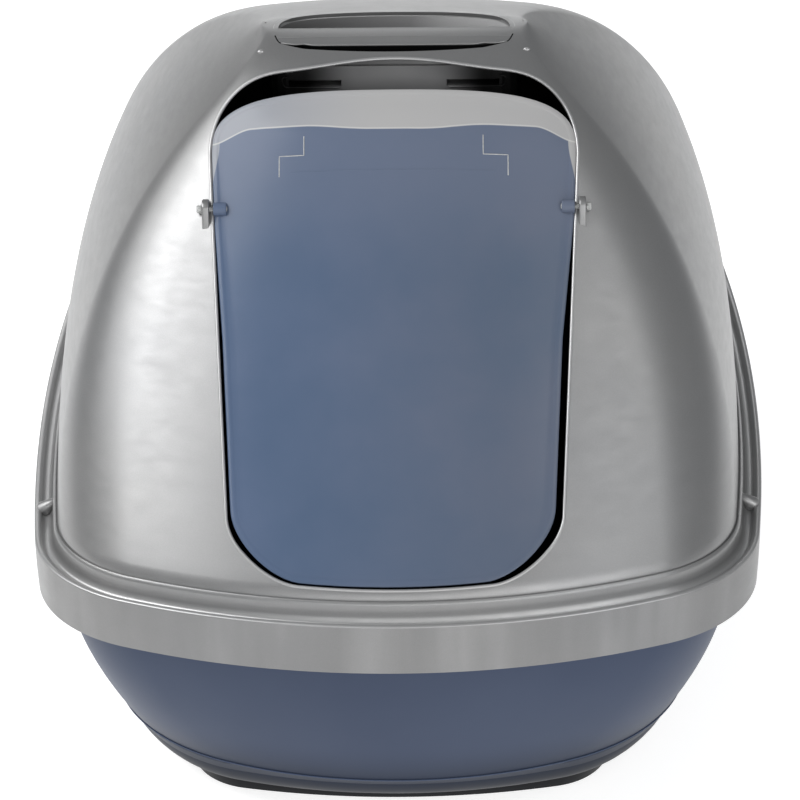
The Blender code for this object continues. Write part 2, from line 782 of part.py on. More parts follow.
def main():
    clear_scene()
    parts = new_collection("hooded_litter_box")
    cutters = new_collection("cutters")
    make_tray(parts)
    hood_frame = add_empty("hood_lift_frame", (0.0, 0.0, TRAY_TOP_Z), parts)
    hinge_frame = add_empty("flap_hinge_frame", (0.0, HINGE_Y, HINGE_Z), parts, hood_frame)
    unit_frame = add_empty("filter_frame", (0.0, BAR_REAR_Y, HOUSING_TOP_Z), parts, hood_frame)
    attach(make_hood(parts, cutters), hood_frame)
    for side in (-1, 1):
        attach(make_pin(parts, side), hood_frame)
    attach(make_flap(parts, cutters), hinge_frame)
    attach(make_housing(parts, cutters), unit_frame)
    attach(make_filter(parts), unit_frame)
    attach(make_cover(parts, cutters), unit_frame)


main()
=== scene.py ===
"""Looks for the hooded cat litter box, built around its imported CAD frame.

Metres, +Z up, entrance facing -Y, floor at z = 0.
"""

import math

import bmesh
import bpy
import numpy as np
from mathutils import Matrix, Vector


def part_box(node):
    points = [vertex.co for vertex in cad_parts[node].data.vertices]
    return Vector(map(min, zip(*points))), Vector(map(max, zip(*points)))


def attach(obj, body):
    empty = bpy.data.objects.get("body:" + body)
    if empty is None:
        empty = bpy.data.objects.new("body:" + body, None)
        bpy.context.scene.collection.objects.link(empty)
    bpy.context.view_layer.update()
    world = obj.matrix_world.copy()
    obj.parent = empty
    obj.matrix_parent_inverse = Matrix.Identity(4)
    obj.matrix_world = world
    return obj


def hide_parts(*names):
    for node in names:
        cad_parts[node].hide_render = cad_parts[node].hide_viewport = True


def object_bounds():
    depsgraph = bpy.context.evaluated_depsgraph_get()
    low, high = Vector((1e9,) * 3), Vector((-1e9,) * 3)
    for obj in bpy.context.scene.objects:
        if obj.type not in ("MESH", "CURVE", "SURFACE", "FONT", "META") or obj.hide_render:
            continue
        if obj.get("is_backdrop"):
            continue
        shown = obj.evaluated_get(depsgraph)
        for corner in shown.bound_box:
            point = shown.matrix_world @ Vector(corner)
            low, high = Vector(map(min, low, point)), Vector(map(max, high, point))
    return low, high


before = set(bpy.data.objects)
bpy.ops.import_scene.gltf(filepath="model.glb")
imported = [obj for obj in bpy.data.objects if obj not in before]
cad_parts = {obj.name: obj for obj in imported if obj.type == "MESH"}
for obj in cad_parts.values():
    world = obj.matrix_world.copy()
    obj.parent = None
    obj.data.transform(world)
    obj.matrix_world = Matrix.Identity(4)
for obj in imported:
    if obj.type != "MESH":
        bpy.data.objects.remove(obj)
cad_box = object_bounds()

# ---------------------------------------------------------------- dimensions
# The named sizes follow the CAD part. A plan is (half width, half length, side, end and corner radius).

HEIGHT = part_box("hood")[1].z
RIM_PLAN = np.array([0.2465, 0.3285, 2.046, 0.445, 0.102])
STEP_PLAN = np.array([0.1984, 0.2726, 1.849, 0.278, 0.136])
FOOT_PLAN = np.array([0.150, 0.232, 1.500, 0.450, 0.045])
SHOULDER_Z = 0.200
SHOULDER_PLAN = RIM_PLAN - 0.016
TOP_HALF_WIDTH = 0.088
FRONT_TILT = math.radians(42)
CROWN_RADIUS = 0.124
CROWN_Y = -0.019
SKIRT_BOTTOM_Z = 0.154
HOOD_WALL = 0.0024

DOOR_BOTTOM = 0.0046
DOOR_TOP = 0.3543
DOOR_BROW = 0.0094
DOOR_BROW_HALF_WIDTH = 0.085
DOOR_HEAD_HALF_WIDTH = 0.070
DOOR_HEAD_POWER = 2.15
DOOR_HALF_WIDTH = 0.1197
DOOR_WIDEST = 0.297
DOOR_TAPER = 0.0523
DOOR_CORNER = (0.0457, 0.0517)
CORNER_POWER = 1.82
SILL_BOW = 0.0038

HINGE = Vector((0.0, -0.130, 0.385))
LUG_INNER_X = 0.1192
LUG_OUTER_X = 0.1238

GRIP_HALF_WIDTH = 0.0765
GRIP_REAR_Y = 0.012
BAR_REAR_Y = -0.019
BAR_EDGE_Y = -0.0428
SLIT_EDGE_Y = -0.0507
SLIT_HALF_WIDTH = GRIP_HALF_WIDTH - 0.0015
EDGE_BOW_AT = 0.060
POCKET_FRONT_Y = -0.0515
POCKET_CORNER = 0.012
CUTTER_BOTTOM_Z = 0.4545
CUTTER_HEIGHT = 0.03

NOTCH_X = 0.0595
NOTCH_DEPTH = 0.0016
NOTCH_WIDTH = 0.0042
NUB_PLACE = (0.087, -0.045)
NUB_RADII = (0.0024, 0.0015, 0.0014)
RIB_START = (0.2350, -0.1700, 0.1862)
RIB_STOP = (0.2247, -0.1700, 0.1935)

FACE_ORIGIN = np.array([0.0, -SHOULDER_PLAN[1], SHOULDER_Z])
FACE_UP = np.array([0.0, math.sin(FRONT_TILT), math.cos(FRONT_TILT)])
FACE_OUT = np.array([0.0, -math.cos(FRONT_TILT), math.sin(FRONT_TILT)])


# ---------------------------------------------------------------- materials


# Sockets of the colour mix node, which share their names with its other types
MIX_FACTOR = 0
MIX_FIRST = 6
MIX_SECOND = 7
MIX_RESULT = 2


def new_material(name):
    mat = bpy.data.materials.new(name)
    mat.use_nodes = True
    tree = mat.node_tree
    return mat, tree, tree.nodes["Principled BSDF"]


def noise(tree, scale, detail=3.0, roughness=0.5, stretch=(1, 1, 1)):
    coords = tree.nodes.new("ShaderNodeTexCoord")
    mapping = tree.nodes.new("ShaderNodeMapping")
    mapping.inputs["Scale"].default_value = stretch
    texture = tree.nodes.new("ShaderNodeTexNoise")
    texture.inputs["Scale"].default_value = scale
    texture.inputs["Detail"].default_value = detail
    texture.inputs["Roughness"].default_value = roughness
    tree.links.new(coords.outputs["Object"], mapping.inputs["Vector"])
    tree.links.new(mapping.outputs["Vector"], texture.inputs["Vector"])
    return texture.outputs["Fac"]


def ramp(tree, value, stops):
    node = tree.nodes.new("ShaderNodeValToRGB")
    elements = node.color_ramp.elements
    while len(elements) < len(stops):
        elements.new(0.5)
    for element, (place, colour) in zip(elements, stops):
        element.position = place
        rgb = colour if isinstance(colour, tuple) else (colour, colour, colour)
        element.color = (*rgb, 1.0)
    tree.links.new(value, node.inputs["Fac"])
    return node.outputs["Color"]


def mix(tree, factor, first, second, blend="MIX"):
    node = tree.nodes.new("ShaderNodeMix")
    node.data_type = "RGBA"
    node.blend_type = blend
    for socket, value in ((MIX_FACTOR, factor), (MIX_FIRST, first), (MIX_SECOND, second)):
        if hasattr(value, "links"):
            tree.links.new(value, node.inputs[socket])
        elif socket == MIX_FACTOR:
            node.inputs[socket].default_value = value
        else:
            node.inputs[socket].default_value = (*value, 1.0)
    return node.outputs[MIX_RESULT]


def maths(tree, operation, first, second):
    node = tree.nodes.new("ShaderNodeMath")
    node.operation = operation
    for i, value in enumerate((first, second)):
        if hasattr(value, "links"):
            tree.links.new(value, node.inputs[i])
        else:
            node.inputs[i].default_value = value
    return node.outputs[0]


def height(tree, axis="Z"):
    coords = tree.nodes.new("ShaderNodeTexCoord")
    split = tree.nodes.new("ShaderNodeSeparateXYZ")
    tree.links.new(coords.outputs["Object"], split.inputs[0])
    return split.outputs[axis]


def span(tree, value, low, high, to_low=0.0, to_high=1.0):
    node = tree.nodes.new("ShaderNodeMapRange")
    node.interpolation_type = "SMOOTHSTEP"
    tree.links.new(value, node.inputs["Value"])
    node.inputs["From Min"].default_value = low
    node.inputs["From Max"].default_value = high
    node.inputs["To Min"].default_value = to_low
    node.inputs["To Max"].default_value = to_high
    return node.outputs["Result"]


def bump(tree, shader, *layers):
    """Stacked bumps: each layer is (height output, depth in metres)."""
    previous = None
    for value, depth in layers:
        node = tree.nodes.new("ShaderNodeBump")
        node.inputs["Strength"].default_value = 1.0
        node.inputs["Distance"].default_value = depth
        tree.links.new(value, node.inputs["Height"])
        if previous:
            tree.links.new(previous, node.inputs["Normal"])
        previous = node.outputs["Normal"]
    tree.links.new(previous, shader.inputs["Normal"])


def silver_plastic(name="silver_grey_plastic", gain=1.0):
    """Mass-coloured silver grey polypropylene: fine metal fleck, faint flow marks, light scuffs, painted
    shade and highlights on the rim; a gain above one gives a lighter copy for painted highlights.
    """
    mat, tree, shader = new_material(name)
    fleck = noise(tree, 3200, 1.0)
    drift = noise(tree, 7, 3.0)
    flow = noise(tree, 16, 4.0, 0.6, (1.0, 1.0, 0.25))
    base = ramp(tree, drift, [(0.3, (0.262, 0.264, 0.268)), (0.7, (0.290, 0.289, 0.288))])
    light = ramp(tree, fleck, [(0.40, 0.94 * gain), (0.60, 1.04 * gain)])
    base = mix(tree, 1.0, base, light, "MULTIPLY")
    # Painted reflection: vertical faces of the skirt are darkened in vertical streaks, standing in for
    # the mottled reflections of the lamps.
    reflection_noise = noise(tree, 22, 3.0, 0.55, (1.0, 1.0, 0.12))
    skirt_reflection_streaks = ramp(tree, reflection_noise, [(0.38, 0.74), (0.50, 0.80), (0.62, 0.92)])
    facing = tree.nodes.new("ShaderNodeSeparateXYZ")
    tree.links.new(tree.nodes.new("ShaderNodeNewGeometry").outputs["Normal"], facing.inputs[0])
    upright = span(tree, maths(tree, "ABSOLUTE", facing.outputs["Z"], 0.0), 0.5, 0.3)
    skirt = maths(tree, "MULTIPLY", span(tree, height(tree), 0.1882, 0.1868), upright)
    base = mix(tree, skirt, base, mix(tree, 1.0, base, skirt_reflection_streaks, "MULTIPLY"))
    level = maths(tree, "SUBTRACT", 1.0, upright)
    # Painted highlight: level faces low on the rim, in the moat and on the roll, are lightened towards
    # white.
    moat = maths(tree, "MULTIPLY", span(tree, height(tree), 0.1925, 0.1890), level)
    base = mix(tree, maths(tree, "MULTIPLY", moat, 0.20), base, (1.0, 1.0, 1.0))
    tree.links.new(base, shader.inputs["Base Color"])
    scuff = noise(tree, 60, 6.0, 0.7, (1.0, 1.0, 3.0))
    tree.links.new(ramp(tree, scuff, [(0.35, 0.34), (0.75, 0.42)]), shader.inputs["Roughness"])
    shader.inputs["Metallic"].default_value = 0.70
    shader.inputs["Specular IOR Level"].default_value = 0.55
    bump(tree, shader, (flow, 0.00005), (fleck, 0.0000015))
    return mat


def pocket_plastic():
    """The hood's plastic inside the finger pocket, with painted shade on its deep floor and under the
    bar, and painted light on the scoop wall.
    """
    mat, tree, shader = new_material("silver_grey_pocket")
    fleck = noise(tree, 3200, 1.0)
    light = ramp(tree, fleck, [(0.40, (0.74, 0.74, 0.745)), (0.60, (0.80, 0.80, 0.805))])
    y = height(tree, "Y")
    # Painted shade: the pocket is near black on its deep floor and under the bar, where it lies in
    # shadow.
    low = span(tree, height(tree), 0.4525, 0.4475)
    floor = maths(tree, "MULTIPLY", span(tree, y, 0.0060, -0.0030), low)
    painted_shade = maths(tree, "MAXIMUM", floor, span(tree, y, -0.016, -0.022))
    painted_shade = maths(tree, "MULTIPLY", painted_shade, span(tree, y, -0.0505, -0.0490))
    # Painted light: the pocket's wall darkens to the left and brightens towards its right end, where the
    # lamps on the left reach it.
    across = span(tree, height(tree, "X"), -0.060, 0.058)
    glow = ramp(tree, across, [(0.0, 0.20), (0.65, 0.32), (1.0, 0.62)])
    light = mix(tree, 1.0, light, glow, "MULTIPLY")
    base = mix(tree, painted_shade, light, (0.003, 0.003, 0.003))
    tree.links.new(base, shader.inputs["Base Color"])
    scuff = noise(tree, 60, 4.0)
    tree.links.new(ramp(tree, scuff, [(0.35, 0.45), (0.75, 0.55)]), shader.inputs["Roughness"])
    shader.inputs["Specular IOR Level"].default_value = 0.0
    bump(tree, shader, (fleck, 0.0000015))
    return mat


def tray_plastic(name="blue_grey_plastic", gain=1.0):
    """Dark blue-grey polypropylene, with a faint orange peel, fine dust and painted shade towards the
    floor; a gain above one gives a lighter copy for a painted highlight.
    """
    mat, tree, shader = new_material(name)
    drift = noise(tree, 9, 3.0)
    peel = noise(tree, 420, 2.0)
    speck = noise(tree, 1500, 2.0)
    base = ramp(tree, drift, [(0.3, (0.045, 0.060, 0.101)), (0.7, (0.053, 0.069, 0.112))])
    dust = ramp(tree, speck, [(0.66, 0.0), (0.84, 0.10)])
    base = mix(tree, dust, base, (0.16, 0.18, 0.22))
    # Painted shade: the colour darkens towards the floor, standing in for the shadow under the tray's
    # overhang.
    low = span(tree, height(tree), 0.004, 0.075, 0.05 * gain, gain)
    shade = tree.nodes.new("ShaderNodeCombineColor")
    for socket in shade.inputs:
        tree.links.new(low, socket)
    tree.links.new(mix(tree, 1.0, base, shade.outputs[0], "MULTIPLY"), shader.inputs["Base Color"])
    wear = noise(tree, 12, 3.0, 0.5)
    tree.links.new(ramp(tree, wear, [(0.3, 0.40), (0.8, 0.46)]), shader.inputs["Roughness"])
    shader.inputs["Specular IOR Level"].default_value = 0.12
    bump(tree, shader, (drift, 0.00005), (peel, 0.0000006))
    return mat


def flap_plastic():
    """Smoked blue clear plastic: cloudy blue below, lighter towards the top, with a pale painted
    reflection of the overhead lamp on the part that bends back and along its upper sides.
    """
    mat, tree, shader = new_material("smoked_blue_clear")
    x, y, z = (height(tree, axis) for axis in "XYZ")
    back = maths(tree, "SUBTRACT", y, float(FACE_ORIGIN[1]))
    along = maths(tree, "MULTIPLY", back, float(FACE_UP[1]))
    rise = maths(tree, "MULTIPLY", maths(tree, "SUBTRACT", z, SHOULDER_Z), float(FACE_UP[2]))
    up = maths(tree, "ADD", along, rise)
    side = maths(tree, "ABSOLUTE", x, 0.0)
    # Painted reflection: a pale sheen where the flap bends back towards the overhead lamp and along its
    # upper sides, with a thin light line painted along its lower edge.
    wobble = maths(tree, "MULTIPLY", noise(tree, 25, 2.0), 0.0012)
    edge = maths(tree, "ADD", span(tree, side, 0.015, 0.060, 0.3094, 0.3126), wobble)
    edge = maths(tree, "SUBTRACT", edge, span(tree, side, 0.092, 0.118, 0.0, 0.0085))
    over = maths(tree, "SUBTRACT", up, edge)
    band = maths(tree, "SUBTRACT", side, span(tree, up, 0.270, 0.305, 0.1178, 0.1130))
    head = span(tree, over, -0.0003, 0.0003)
    sheen = maths(tree, "MAXIMUM", head, span(tree, band, -0.0003, 0.0003))
    line = maths(tree, "MULTIPLY", span(tree, over, -0.0008, 0.0), span(tree, over, 0.0009, 0.0002))

    cloud = noise(tree, 10, 4.0, 0.55)
    across = span(tree, maths(tree, "ADD", x, maths(tree, "MULTIPLY", cloud, 0.04)), -0.11, 0.13)
    left = ramp(tree, cloud, [(0.30, (0.080, 0.120, 0.200)), (0.70, (0.105, 0.145, 0.235))])
    right = ramp(tree, cloud, [(0.30, (0.090, 0.120, 0.175)), (0.70, (0.122, 0.140, 0.190))])
    body = mix(tree, across, left, right)
    # Painted light: the body lightens towards the top, where the flap turns towards the overhead lamp.
    body = mix(tree, span(tree, up, 0.20, 0.30, 0.0, 0.55), body, (0.145, 0.170, 0.235))
    pale = mix(tree, span(tree, x, -0.11, 0.0), (0.300, 0.315, 0.350), (0.405, 0.402, 0.402))
    base = mix(tree, sheen, body, pale)
    base = mix(tree, maths(tree, "MULTIPLY", line, 0.75), base, (0.60, 0.59, 0.57))
    tree.links.new(base, shader.inputs["Base Color"])
    wear = noise(tree, 35, 5.0)
    tree.links.new(ramp(tree, wear, [(0.3, 0.16), (0.8, 0.24)]), shader.inputs["Roughness"])
    shader.inputs["Transmission Weight"].default_value = 0.10
    shader.inputs["IOR"].default_value = 1.49
    shader.inputs["Specular IOR Level"].default_value = 0.16
    bump(tree, shader, (cloud, 0.00015), (noise(tree, 900, 2.0), 0.000002))
    return mat


def clear_plastic():
    mat, tree, shader = new_material("natural_clear_plastic")
    haze = noise(tree, 500, 3.0)
    base = ramp(tree, haze, [(0.3, (0.62, 0.63, 0.62)), (0.7, (0.78, 0.79, 0.78))])
    tree.links.new(base, shader.inputs["Base Color"])
    tree.links.new(ramp(tree, haze, [(0.3, 0.12), (0.7, 0.24)]), shader.inputs["Roughness"])
    shader.inputs["Transmission Weight"].default_value = 0.5
    bump(tree, shader, (haze, 0.00001))
    return mat


def grey_plastic():
    mat, tree, shader = new_material("inner_grey_plastic")
    grain = noise(tree, 1400, 3.0)
    drift = noise(tree, 14, 3.0)
    base = ramp(tree, drift, [(0.3, (0.20, 0.20, 0.205)), (0.7, (0.24, 0.24, 0.24))])
    # Painted shade: the housing darkens to near black away from the middle, standing in for the shade on
    # its curving front.
    side = maths(tree, "ABSOLUTE", height(tree, "X"), 0.0)
    base = mix(tree, span(tree, side, 0.024, 0.060), base, (0.004, 0.004, 0.004))
    tree.links.new(base, shader.inputs["Base Color"])
    tree.links.new(ramp(tree, grain, [(0.3, 0.38), (0.7, 0.52)]), shader.inputs["Roughness"])
    shader.inputs["Specular IOR Level"].default_value = 0.25
    bump(tree, shader, (drift, 0.0001), (grain, 0.000004))
    return mat


def carbon_foam():
    mat, tree, shader = new_material("carbon_foam")
    coords = tree.nodes.new("ShaderNodeTexCoord")
    cells = tree.nodes.new("ShaderNodeTexVoronoi")
    cells.feature = "DISTANCE_TO_EDGE"
    cells.inputs["Scale"].default_value = 700
    tree.links.new(coords.outputs["Object"], cells.inputs["Vector"])
    edge = cells.outputs["Distance"]
    base = ramp(tree, edge, [(0.02, (0.030, 0.030, 0.031)), (0.3, (0.006, 0.006, 0.006))])
    tree.links.new(base, shader.inputs["Base Color"])
    shader.inputs["Roughness"].default_value = 0.95
    bump(tree, shader, (edge, -0.0006))
    return mat


def floor_material():
    mat, tree, shader = new_material("studio_floor")
    grain = noise(tree, 120, 4.0)
    tree.links.new(ramp(tree, grain, [(0.3, 0.56), (0.7, 0.59)]), shader.inputs["Base Color"])
    shader.inputs["Roughness"].default_value = 0.9
    shader.inputs["Emission Color"].default_value = (1.0, 1.0, 1.0, 1.0)
    shader.inputs["Emission Strength"].default_value = 0.80
    return mat


# ---------------------------------------------------------------- outlines


def plan_centres(plan):
    half_width, half_length, side_r, end_r, corner_r = plan
    side = np.array([half_width - side_r, 0.0])
    end = np.array([0.0, half_length - end_r])
    to_side, to_end = side_r - corner_r, end_r - corner_r
    gap = end - side
    length = math.hypot(*gap)
    along = (to_side**2 - to_end**2 + length**2) / (2 * length)
    across = math.sqrt(max(to_side**2 - along**2, 0.0))
    unit = gap / length
    return side, end, side + unit * along + np.array([-unit[1], unit[0]]) * across


def arc(centre, radius, start, stop, steps):
    angle = start + (stop - start) * np.arange(steps) / steps
    return np.stack([centre[0] + radius * np.cos(angle), centre[1] + radius * np.sin(angle)], 1)


def plan_outline(plan, inset=0.0):
    """The whole outline, anticlockwise from +X: side, corner and end arcs, each tangent to the next."""
    plan = np.asarray(plan) - inset
    side, end, corner = plan_centres(plan)
    first = math.atan2(corner[1] - side[1], corner[0] - side[0])
    second = math.atan2(corner[1] - end[1], corner[0] - end[0])
    quarter = np.concatenate([
        arc(side, plan[2], 0.0, first, 12),
        arc(corner, plan[4], first, second, 26),
        arc(end, plan[3], second, math.pi / 2, 18),
    ])
    top = np.array([[0.0, plan[1]]])
    left = quarter[1:][::-1] * (-1, 1)
    upper = np.concatenate([quarter, top, left])
    return np.concatenate([upper, -upper])


def lift(outline, z):
    return np.concatenate([outline, np.full((len(outline), 1), z)], 1)


def dome_section(z):
    share = np.clip((z - SHOULDER_Z) / (HEIGHT - SHOULDER_Z), 0.0, 1.0)
    half_width = TOP_HALF_WIDTH + (SHOULDER_PLAN[0] - TOP_HALF_WIDTH) * (1 - share**2.3)
    rear = SHOULDER_PLAN[1] * (1 - share**2.4) ** 0.75
    crown_z = HEIGHT - CROWN_RADIUS
    tangent_z = crown_z + CROWN_RADIUS * math.sin(FRONT_TILT)
    tangent_y = CROWN_Y - CROWN_RADIUS * math.cos(FRONT_TILT)
    flat = tangent_y - (tangent_z - z) * math.tan(FRONT_TILT)
    bend = CROWN_Y - np.sqrt(np.maximum(CROWN_RADIUS**2 - (z - crown_z) ** 2, 0.0))
    return half_width, np.maximum(np.where(z < tangent_z, flat, bend), -SHOULDER_PLAN[1]), rear


def dome_outline(z):
    half_width, front, rear = dome_section(z)
    scale = (half_width / SHOULDER_PLAN[0], (rear - front) / 2 / SHOULDER_PLAN[1])
    return plan_outline(SHOULDER_PLAN) * scale + (0.0, (rear + front) / 2)


def dome_y(x, z, rear_side=False):
    """The dome's front or rear surface, for arrays of x and height."""
    half_width, front, rear = dome_section(z)
    plan_x = np.minimum(np.abs(x) * SHOULDER_PLAN[0] / half_width, SHOULDER_PLAN[0])
    end, corner = plan_centres(SHOULDER_PLAN)[1:]
    end_r, corner_r = SHOULDER_PLAN[3:]
    join_x = end_r * corner[0] / (end_r - corner_r)
    on_end = end[1] + np.sqrt(np.maximum(end_r**2 - plan_x**2, 0.0))
    on_corner = corner[1] + np.sqrt(np.maximum(corner_r**2 - (plan_x - corner[0]) ** 2, 0.0))
    plan_y = np.where(plan_x < join_x, on_end, on_corner) * (rear - front) / 2 / SHOULDER_PLAN[1]
    return (rear + front) / 2 + (plan_y if rear_side else -plan_y)


def face_points(x, up):
    """Points of the dome's front at x that are this far up the tilted face."""
    x, up = np.broadcast_arrays(np.asarray(x, float), np.asarray(up, float))
    low, high = np.full(x.shape, SHOULDER_Z), np.full(x.shape, HEIGHT)
    for _ in range(44):
        z = (low + high) / 2
        points = np.stack([x, dome_y(x, z), z], -1)
        below = (points - FACE_ORIGIN) @ FACE_UP < up
        low, high = np.where(below, z, low), np.where(below, high, z)
    return points


def face_normals(x, up, step=0.0015):
    across = face_points(x + step, up) - face_points(x - step, up)
    along = face_points(x, up + step) - face_points(x, up - step)
    normal = np.cross(across, along)
    return normal / np.linalg.norm(normal, axis=-1, keepdims=True)


def top_z(x, y):
    """Height of the dome over (x, y), near its top."""
    x, y = np.broadcast_arrays(np.asarray(x, float), np.asarray(y, float))
    low, high = np.full(x.shape, 0.40), np.full(x.shape, HEIGHT)
    for _ in range(40):
        z = (low + high) / 2
        fits = np.abs(x) < dome_section(z)[0]
        fits &= (y > dome_y(x, z)) & (y < dome_y(x, z, rear_side=True))
        low, high = np.where(fits, z, low), np.where(fits, high, z)
    return low


def door_half_width(up):
    return DOOR_HALF_WIDTH - DOOR_TAPER * np.maximum(DOOR_WIDEST - up, 0.0)


def bowed(x, up, corner_top, corner_height):
    """A height near the sill, raised towards the sides as the sill bows."""
    share = np.clip((corner_top - up) / corner_height, 0.0, 1.0)
    return up + SILL_BOW * np.minimum(np.abs(x) / 0.060, 1.6) ** 2 * share


def door_brow(x):
    wave = DOOR_BROW * (0.5 + 0.5 * math.cos(math.pi * x / DOOR_BROW_HALF_WIDTH))
    return wave if abs(x) < DOOR_BROW_HALF_WIDTH else 0.0


def door_outline(sill=10, corner=22, side=24, head=26, brow=22):
    """The entrance as (x, distance up the face), anticlockwise from the middle of the sill."""
    width, rise = DOOR_CORNER
    corner_top = DOOR_BOTTOM + rise
    corner_x = float(door_half_width(corner_top)) - width
    right = [(x, bowed(x, DOOR_BOTTOM, corner_top, rise)) for x in np.linspace(0, corner_x, sill)[:-1]]
    for angle in np.linspace(0, math.pi / 2, corner):
        x = corner_x + width * math.sin(angle) ** (2 / CORNER_POWER)
        up = corner_top - rise * max(math.cos(angle), 0.0) ** (2 / CORNER_POWER)
        right.append((x, bowed(x, up, corner_top, rise)))
    right += [(door_half_width(up), up) for up in np.linspace(corner_top, DOOR_WIDEST, side)[1:]]
    head_x = DOOR_HALF_WIDTH - DOOR_HEAD_HALF_WIDTH
    for angle in np.linspace(0, math.pi / 2, head)[1:]:
        x = DOOR_HEAD_HALF_WIDTH + head_x * max(math.cos(angle), 0.0) ** (2 / DOOR_HEAD_POWER)
        up = DOOR_WIDEST + (DOOR_TOP - DOOR_WIDEST) * math.sin(angle) ** (2 / DOOR_HEAD_POWER)
        right.append((x, up + door_brow(x)))
    right += [(x, DOOR_TOP + door_brow(x)) for x in np.linspace(DOOR_HEAD_HALF_WIDTH, 0, brow)[1:]]
    right = np.array(right, float)
    return np.concatenate([right, right[1:-1][::-1] * (-1, 1)])


# ---------------------------------------------------------------- mesh helpers


def grid_mesh(name, sections, cap_first=False, cap_last=False):
    """A skin of quads between closed sections with the same number of points."""
    sections = np.asarray(sections, float)
    rows, count = sections.shape[:2]
    index = np.arange(rows * count).reshape(rows, count)
    after = np.roll(index, -1, 1)
    faces = np.stack([index[:-1], after[:-1], after[1:], index[1:]], -1).reshape(-1, 4).tolist()
    if cap_first:
        faces.append(index[0][::-1].tolist())
    if cap_last:
        faces.append(index[-1].tolist())
    mesh = bpy.data.meshes.new(name)
    mesh.from_pydata(sections.reshape(-1, 3).tolist(), [], faces)
    mesh.update()
    return mesh


def new_object(name, mesh, mat=None, angle=32):
    obj = bpy.data.objects.new(name, mesh)
    bpy.context.scene.collection.objects.link(obj)
    bm = bmesh.new()
    bm.from_mesh(mesh)
    bmesh.ops.recalc_face_normals(bm, faces=bm.faces)
    bm.to_mesh(mesh)
    bm.free()
    if mat:
        mesh.materials.append(mat)
    mesh.shade_smooth()
    if angle:
        mesh.set_sharp_from_angle(angle=math.radians(angle))
    return obj


def apply_modifiers(obj, angle=None):
    bpy.context.view_layer.update()
    evaluated = obj.evaluated_get(bpy.context.evaluated_depsgraph_get())
    mesh = bpy.data.meshes.new_from_object(evaluated)
    obj.modifiers.clear()
    obj.data = mesh
    if angle:
        mesh.shade_smooth()
        mesh.set_sharp_from_angle(angle=math.radians(angle))
    return obj


def boolean(target, cutter, operation="DIFFERENCE"):
    modifier = target.modifiers.new(operation.lower(), "BOOLEAN")
    modifier.operation = operation
    modifier.object = cutter
    modifier.solver = "EXACT"
    apply_modifiers(target)
    bpy.data.objects.remove(cutter)


def prism(name, outline, direction):
    bm = bmesh.new()
    face = bm.faces.new([bm.verts.new(p) for p in outline])
    made = bmesh.ops.extrude_face_region(bm, geom=[face])
    moved = [item for item in made["geom"] if isinstance(item, bmesh.types.BMVert)]
    bmesh.ops.translate(bm, verts=moved, vec=direction)
    bmesh.ops.recalc_face_normals(bm, faces=bm.faces)
    mesh = bpy.data.meshes.new(name)
    bm.to_mesh(mesh)
    bm.free()
    obj = bpy.data.objects.new(name, mesh)
    bpy.context.scene.collection.objects.link(obj)
    return obj


def bead(name, points, radius, mat, cyclic=True, resolution=4):
    """A thin round bead along a path."""
    curve = bpy.data.curves.new(name, "CURVE")
    curve.dimensions = "3D"
    curve.bevel_depth = radius
    curve.bevel_resolution = resolution
    curve.use_fill_caps = not cyclic
    spline = curve.splines.new("POLY")
    spline.points.add(len(points) - 1)
    spline.points.foreach_set("co", np.concatenate([points, np.ones((len(points), 1))], 1).ravel())
    spline.use_cyclic_u = cyclic
    curve.materials.append(mat)
    obj = bpy.data.objects.new(name, curve)
    bpy.context.scene.collection.objects.link(obj)
    spline.use_smooth = True
    return obj


TIP_RADIUS = 1e-5  # a section this small closes a turned piece


def ease(count, power):
    return 1 - (1 - np.linspace(0, 1, count)) ** power


def rounded(points, radius_steps=6):
    """A polyline's inner corners rounded: points are (a, b, radius)."""
    out = []
    for i, (a, b, radius) in enumerate(points):
        here = np.array([a, b])
        if radius == 0 or i in (0, len(points) - 1):
            out.append(here)
            continue
        before = np.array(points[i - 1][:2]) - here
        after = np.array(points[i + 1][:2]) - here
        reach = min(radius, np.linalg.norm(before) * 0.49, np.linalg.norm(after) * 0.49)
        start = here + before / np.linalg.norm(before) * reach
        stop = here + after / np.linalg.norm(after) * reach
        for t in np.linspace(0, 1, radius_steps):
            out.append((1 - t) ** 2 * start + 2 * t * (1 - t) * here + t * t * stop)
    return np.array(out)


# ---------------------------------------------------------------- pieces


SILVER = silver_plastic()
# A lighter copy of the silver plastic, a painted highlight on the lips, edges and nubs.
SILVER_HIGHLIGHT = silver_plastic("silver_grey_painted_highlight", 1.5)
POCKET = pocket_plastic()
TRAY = tray_plastic()
# A lighter copy of the tray plastic, a painted highlight along the tray's ridge.
TRAY_HIGHLIGHT = tray_plastic("blue_grey_painted_highlight", 2.4)
FLAP = flap_plastic()
CLEAR = clear_plastic()
GREY = grey_plastic()
CARBON = carbon_foam()


def keep(obj, body, slot, *nodes):
    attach(obj, body)
    if nodes:
        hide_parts(*nodes)


# ---------------------------------------------------------------- hood


def rim_sections():
    """The skirt, rolled rim, moat and bead as (inset, height, corner softness), from the bottom up."""
    outer = rounded([
        (0.0012, SKIRT_BOTTOM_Z, 0), (0.0004, 0.1700, 0.004), (0.0001, 0.1882, 0.0014),
        (0.0026, 0.1888, 0.0010), (0.0046, 0.1876, 0.0012), (0.0060, 0.1844, 0.0014),
        (0.0096, 0.1842, 0.0036), (0.0120, 0.1890, 0.0050), (0.0128, 0.1966, 0.0016),
        (0.0144, 0.1986, 0.0012), (0.0155, 0.1974, 0.0005), (0.0160, SHOULDER_Z, 0),
    ])
    return [lift(plan_outline(RIM_PLAN, inset), z) for inset, z in outer]


